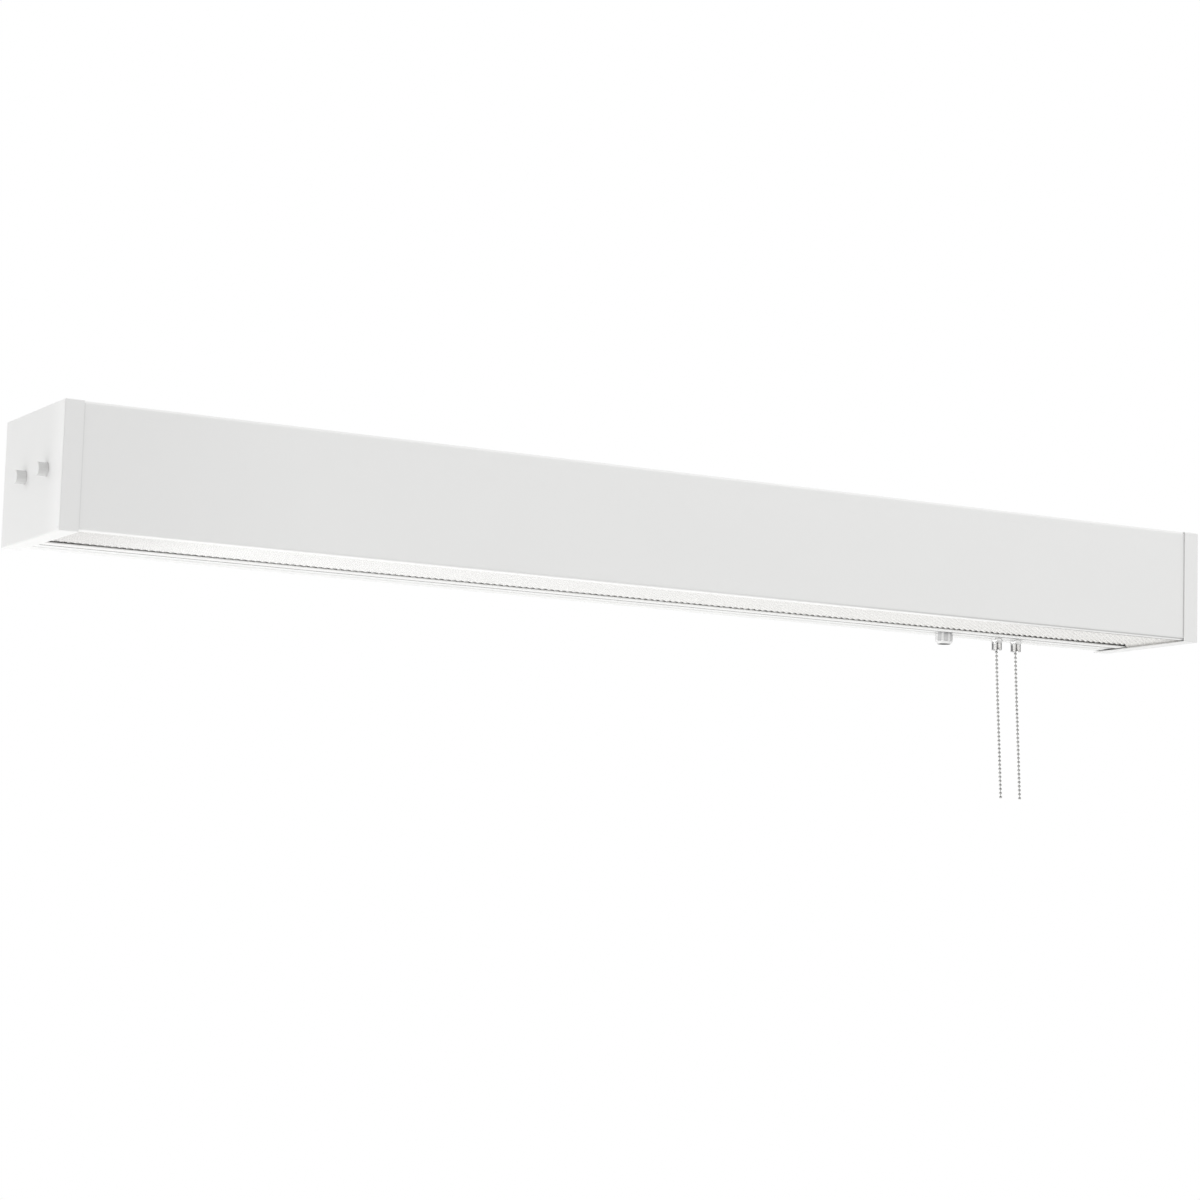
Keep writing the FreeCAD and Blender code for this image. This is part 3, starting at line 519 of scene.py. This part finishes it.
# Bead chains, hanging from the switches' mouths with the lean that the photograph shows
chain = {
    "mouth": {"left": (474.8, -27.5, -71.0), "right": (500.3, -27.5, -71.0)},  # mm
    "route": (  # mm, from the mouth
        (0, 0, 0),
        (1.6, 0, -38),
        (4.2, 0, -82),
        (6.6, 0, -124),
        (8.6, 0, -162.4),
    ),
    "resolution": 24,
    "beadRadius": 1.6,  # mm
    "beadAround": 18,
    "beadBands": 10,
    "beadMouth": 1.5,  # link radii
    "linkRadius": 0.36,  # mm
    "linkAround": 10,
    "linkFlare": 1.25,  # link radii, at its ends
    "linkInside": 0.55,  # bead radii, from a bead's middle to the link's end
    "pitch": 4.4,  # mm
}


def routeLine(name, points):
    curve = bpy.data.curves.new(name, "CURVE")
    curve.dimensions = "3D"
    spline = curve.splines.new("NURBS")
    spline.points.add(len(points) - 1)
    for spot, point in zip(spline.points, points):
        spot.co = (*point, 1)
    spline.order_u = 3
    spline.use_endpoint_u = True
    spline.resolution_u = chain["resolution"]
    holder = bpy.data.objects.new(name, curve)
    line = bpy.data.meshes.new_from_object(holder)
    found = [vertex.co.copy() for vertex in line.vertices]
    bpy.data.objects.remove(holder)
    bpy.data.meshes.remove(line)
    bpy.data.curves.remove(curve)
    return found


def alongLine(line, distance):
    for start, end in zip(line, line[1:]):
        step = (end - start).length
        if distance <= step:
            return start.lerp(end, distance / step), (end - start).normalized()
        distance -= step
    return line[-1].copy(), (line[-1] - line[-2]).normalized()


def addTurned(mesh, spot, heading, profile, around, slotIndex):  # a closed turned shape on the line
    turn = heading.to_track_quat("Z", "Y")
    rings = []
    for radius, height in profile:
        ring = []
        for step in range(around):
            angle = 2 * math.pi * step / around
            local = Vector((radius * math.cos(angle), radius * math.sin(angle), height))
            ring.append(mesh.verts.new(spot + turn @ local))
        rings.append(ring)
    for lower, upper in zip(rings, rings[1:]):
        for step in range(around):
            after = (step + 1) % around
            side = mesh.faces.new((lower[step], lower[after], upper[after], upper[step]))
            side.smooth = True
            side.material_index = slotIndex
    for cap in (rings[0][::-1], rings[-1]):
        mesh.faces.new(cap).material_index = slotIndex


def addChain(hand):
    mouth = Vector(chain["mouth"][hand])
    line = routeLine("route", [(mouth + Vector(point)) * mm for point in chain["route"]])
    total = sum((end - start).length for start, end in zip(line, line[1:]))
    beadRadius, linkRadius, pitch = (chain[key] * mm for key in ("beadRadius", "linkRadius", "pitch"))
    throat = math.asin(linkRadius * chain["beadMouth"] / beadRadius)
    bands = chain["beadBands"]
    bead = []
    for band in range(bands + 1):
        angle = throat + (math.pi - 2 * throat) * band / bands
        bead.append((beadRadius * math.sin(angle), -beadRadius * math.cos(angle)))
    flare = linkRadius * chain["linkFlare"]
    reach = pitch / 2 - chain["linkInside"] * beadRadius
    link = [(flare, -reach), (linkRadius, 0.0), (flare, reach)]
    mesh = bmesh.new()
    count = round(total / pitch)
    spacing = total / count
    for step in range(count):
        spot, heading = alongLine(line, (step + 0.5) * spacing)
        addTurned(mesh, spot, heading, bead, chain["beadAround"], 0)
        spot, heading = alongLine(line, step * spacing)
        addTurned(mesh, spot, heading, link, chain["linkAround"], 1)
    name = "chain_" + hand
    piece = addPiece(name, mesh, name, "chain_nickel", "pull_chain_" + hand)
    piece.data.materials.append(linkSteel)


for hand in ("left", "right"):
    addChain(hand)
print("chains hung")

# Prismatic lens: pyramids at 45 degrees to the box, points down, on the ledge and the cover's lip
lens = {
    "across": 3.608,  # mm, half a pyramid's diagonal
    "ledge": -55.0,  # mm, the ledge's front edge
    "ledgeRow": 1.7,  # mm, points in front of it
    "deep": 1.6,  # mm
    "raise": (0.95, 0.05, 1.3),  # mm, points over the seat at the left, where it sags, and at the right
    "sag": 5,  # how late the ends turn up
    "rib": 4,  # columns of the flat rib at each end, which stands down between the ledge and the lip
    "ribInset": 3,  # rows
    "ribDrop": 1.4,  # mm below the seat
}


def addLens():
    low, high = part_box("lens_bottom")
    apart = lens["across"] * mm
    columns = round((high.x - low.x) / apart)
    rowsToLedge = ((lens["ledge"] - lens["ledgeRow"]) * mm - low.y) / apart
    shift = math.ceil(rowsToLedge) - rowsToLedge  # so that one row of points stands at the ledge's edge
    rows = math.ceil((high.y - low.y) / apart + shift)
    leftRaise, middleRaise, rightRaise = lens["raise"]
    mesh = bmesh.new()

    def spot(column, row, height):
        across = low.x + (high.x - low.x) * column / columns
        back = min(max(low.y + (row - shift) * apart, low.y), high.y)
        return mesh.verts.new((across, back, height))

    def underHeight(column, row):
        inset = lens["ribInset"]
        if min(column, columns - column) <= lens["rib"] and inset <= row <= rows - inset:
            return low.z - lens["ribDrop"] * mm
        share = 2 * column / columns - 1
        endRaise = rightRaise if share > 0 else leftRaise
        lifted = middleRaise + (endRaise - middleRaise) * abs(share) ** lens["sag"]
        return low.z + (lifted + (0 if (column + row) % 2 else lens["deep"])) * mm

    under = [[spot(i, j, underHeight(i, j)) for j in range(rows + 1)] for i in range(columns + 1)]
    for i in range(columns):
        for j in range(rows):
            corners = [under[i][j], under[i][j + 1], under[i + 1][j + 1], under[i + 1][j]]
            if (i + j) % 2:
                corners = corners[1:] + corners[:1]
            mesh.faces.new((corners[0], corners[1], corners[2]))
            mesh.faces.new((corners[0], corners[2], corners[3]))
    rim = [(i, 0) for i in range(columns)] + [(columns, j) for j in range(rows)]
    rim += [(i, rows) for i in range(columns, 0, -1)] + [(0, j) for j in range(rows, 0, -1)]
    upper = [spot(i, j, high.z) for i, j in rim]
    lower = [under[i][j] for i, j in rim]
    for step in range(len(rim)):
        after = (step + 1) % len(rim)
        mesh.faces.new((lower[step], lower[after], upper[after], upper[step]))
    mesh.faces.new(upper)
    addPiece("prism_lens", mesh, "housing", "prismatic_acrylic", "lens_bottom")


addLens()
print("lens moulded")

# Threads on the pull switches' necks, below the ring nuts
thread = {
    "radius": 5.7,  # mm
    "crest": 0.3,  # mm
    "pitch": 0.8,  # mm
    "turns": 4,
    "around": 40,
    "section": ((-0.45, 0.0), (-0.1, 1.0), (0.1, 1.0), (0.45, 0.0)),  # pitches along, crests out
    "startTurns": 0.5,  # turns in which the crest grows to its height
    "startCrest": 0.1,
}


def addThread(hand):
    nutLow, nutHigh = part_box("pull_ring_nut_" + hand)
    middle = (nutLow + nutHigh) / 2
    pitch, around, turns = thread["pitch"] * mm, thread["around"], thread["turns"]
    bottom = nutLow.z - turns * pitch
    last = turns * around
    mesh = bmesh.new()
    strips = []
    for share, out in thread["section"]:
        strip = []
        for step in range(last + 1):
            turn = step / around
            angle = 2 * math.pi * turn
            grown = max(thread["startCrest"], min(1.0, turn / thread["startTurns"]))
            radius = (thread["radius"] + thread["crest"] * out * grown) * mm
            x = middle.x + radius * math.cos(angle)
            y = middle.y + radius * math.sin(angle)
            strip.append(mesh.verts.new((x, y, bottom + pitch * (turn + share))))
        strips.append(strip)
    for lower, upper in zip(strips, strips[1:] + strips[:1]):
        for step in range(last):
            side = mesh.faces.new((lower[step], lower[step + 1], upper[step + 1], upper[step]))
            side.smooth = True
    mesh.faces.new([strip[0] for strip in strips])
    mesh.faces.new([strip[last] for strip in strips[::-1]])
    addPiece("thread_" + hand, mesh, "housing", "nickel")


for hand in ("left", "right"):
    addThread(hand)
print("threads cut")

# Light: an even white surround with dim patches for the bright metal to mirror, and four soft lamps
light = {
    "level": 0.81,
    "slope": (0.22, -0.15),  # along x and y
    "ends": 0.10,  # more from straight above and below
    "patches": (
        {"toward": (-0.55, -0.83, -0.08), "inner": 0.60, "outer": 0.15},
        {"toward": (-0.84, 0.545, 0.10), "inner": 0.91, "outer": 0.79},
        {"toward": (0.90, 0.42, 0.10), "inner": 0.94, "outer": 0.82},
    ),
    "dim": 0.85,
    "lamps": (  # name, spot, aim, size, power
        ("lampAbove", (1.2, -1.2, 2.2), (0.0, -0.08, -0.1), (0.5, 0.5), 9.0),
        ("lampRear", (-2.3, 1.13, 0.77), (-0.65, -0.08, 0.0), (1.2, 1.2), 9.0),
        ("lampBelow", (0.1, 0.35, -1.1), (0.1, 0.35, 0.0), (2.2, 0.9), 7.4),
        ("lampLeft", (-1.05, -0.12, -0.5), (-0.62, -0.1, -0.05), (0.6, 0.6), 0.9),
    ),
}


def patchShade(coords, patch):  # 1 in the patch's middle, fading to 0
    sockets = {0: coords, 1: Vector(patch["toward"]).normalized()}
    facing = coords.node("ShaderNodeVectorMath", {"operation": "DOT_PRODUCT"}, sockets, out="Value")
    return softStep(facing, patch["outer"], patch["inner"])


def addSurround():
    world = bpy.data.worlds.new("surround")
    scene.world = world
    world.use_nodes = True
    tree = world.node_tree
    tree.nodes.clear()
    ray = tree.nodes.new("ShaderNodeLightPath")
    coords = Wire(tree, tree.nodes.new("ShaderNodeTexCoord").outputs["Generated"])
    kinds = ("Camera", "Glossy", "Transmission")
    camera, glossy, through = (Wire(tree, ray.outputs["Is %s Ray" % kind]) for kind in kinds)
    x, y, z = axes(coords)
    slopeX, slopeY = light["slope"]
    level = light["level"] + slopeX * x + slopeY * y + light["ends"] * (z * z)
    first, second, third = (patchShade(coords, patch) for patch in light["patches"])
    shine = 1.0 - light["dim"] * (glossy * (first + second + third))
    lit = level.node("ShaderNodeBackground", {}, {"Color": level, "Strength": 1.0})
    plain = level.node("ShaderNodeBackground", {}, {"Color": shine, "Strength": 1.0})
    seen = camera.maths("MAXIMUM", camera, glossy.maths("MAXIMUM", glossy, through))
    both = level.node("ShaderNodeMixShader", {}, {0: seen, 1: lit, 2: plain})
    end = tree.nodes.new("ShaderNodeOutputWorld")
    tree.links.new(both.socket, end.inputs["Surface"])


def addLamp(name, spot, aim, size, power):
    data = bpy.data.lights.new(name, "AREA")
    data.shape = "RECTANGLE"
    data.size, data.size_y = size
    data.energy = power
    item = bpy.data.objects.new(name, data)
    item.location = spot
    item.rotation_euler = (Vector(aim) - item.location).to_track_quat("-Z", "Y").to_euler()
    item.visible_camera = False
    scene.collection.objects.link(item)


addSurround()
for lamp in light["lamps"]:
    addLamp(*lamp)
print("lights set")

# Floor: pale, with the light's shadow near it, white where the camera sees it far off, and open from below
ground = {
    "height": -1.15,  # m
    "size": 14.0,  # m
    "near": 3.0,  # m, pale up to here
    "far": 6.0,  # m, white from here
    "tones": ((0.80, 0.80, 0.795), (0.81, 0.81, 0.805)),
    "drift": 3.0,
    "rough": 0.9,
}


def addFloor():
    mesh = bmesh.new()
    bmesh.ops.create_grid(mesh, x_segments=1, y_segments=1, size=ground["size"] / 2)
    data = bpy.data.meshes.new("floor")
    mesh.to_mesh(data)
    mesh.free()
    floor = bpy.data.objects.new("floor", data)
    floor.location.z = ground["height"]
    scene.collection.objects.link(floor)
    item, shader, place = newMaterial("pale floor", Roughness=ground["rough"])
    tree = place.tree
    shade = mixed(noise(place, ground["drift"]), *ground["tones"])
    feed(tree, shader.inputs["Base Color"], shade)
    away = place.node("ShaderNodeVectorMath", {"operation": "LENGTH"}, {0: place}, out="Value")
    far = softStep(away, ground["near"], ground["far"])
    seen = Wire(tree, tree.nodes.new("ShaderNodeLightPath").outputs["Is Camera Ray"])
    white = far.node("ShaderNodeEmission", {}, {"Color": (1, 1, 1, 1), "Strength": 1.0})
    pale = Wire(tree, shader.outputs[0])
    above = far.node("ShaderNodeMixShader", {}, {0: far * seen, 1: pale, 2: white})
    under = Wire(tree, tree.nodes.new("ShaderNodeNewGeometry").outputs["Backfacing"])
    through = far.node("ShaderNodeBsdfTransparent", {}, {})
    both = far.node("ShaderNodeMixShader", {}, {0: under * seen, 1: above, 2: through})
    tree.links.new(both.socket, tree.nodes["Material Output"].inputs["Surface"])
    floor.data.materials.append(item)


addFloor()
scene.view_settings.view_transform = "Standard"
print("floor laid")
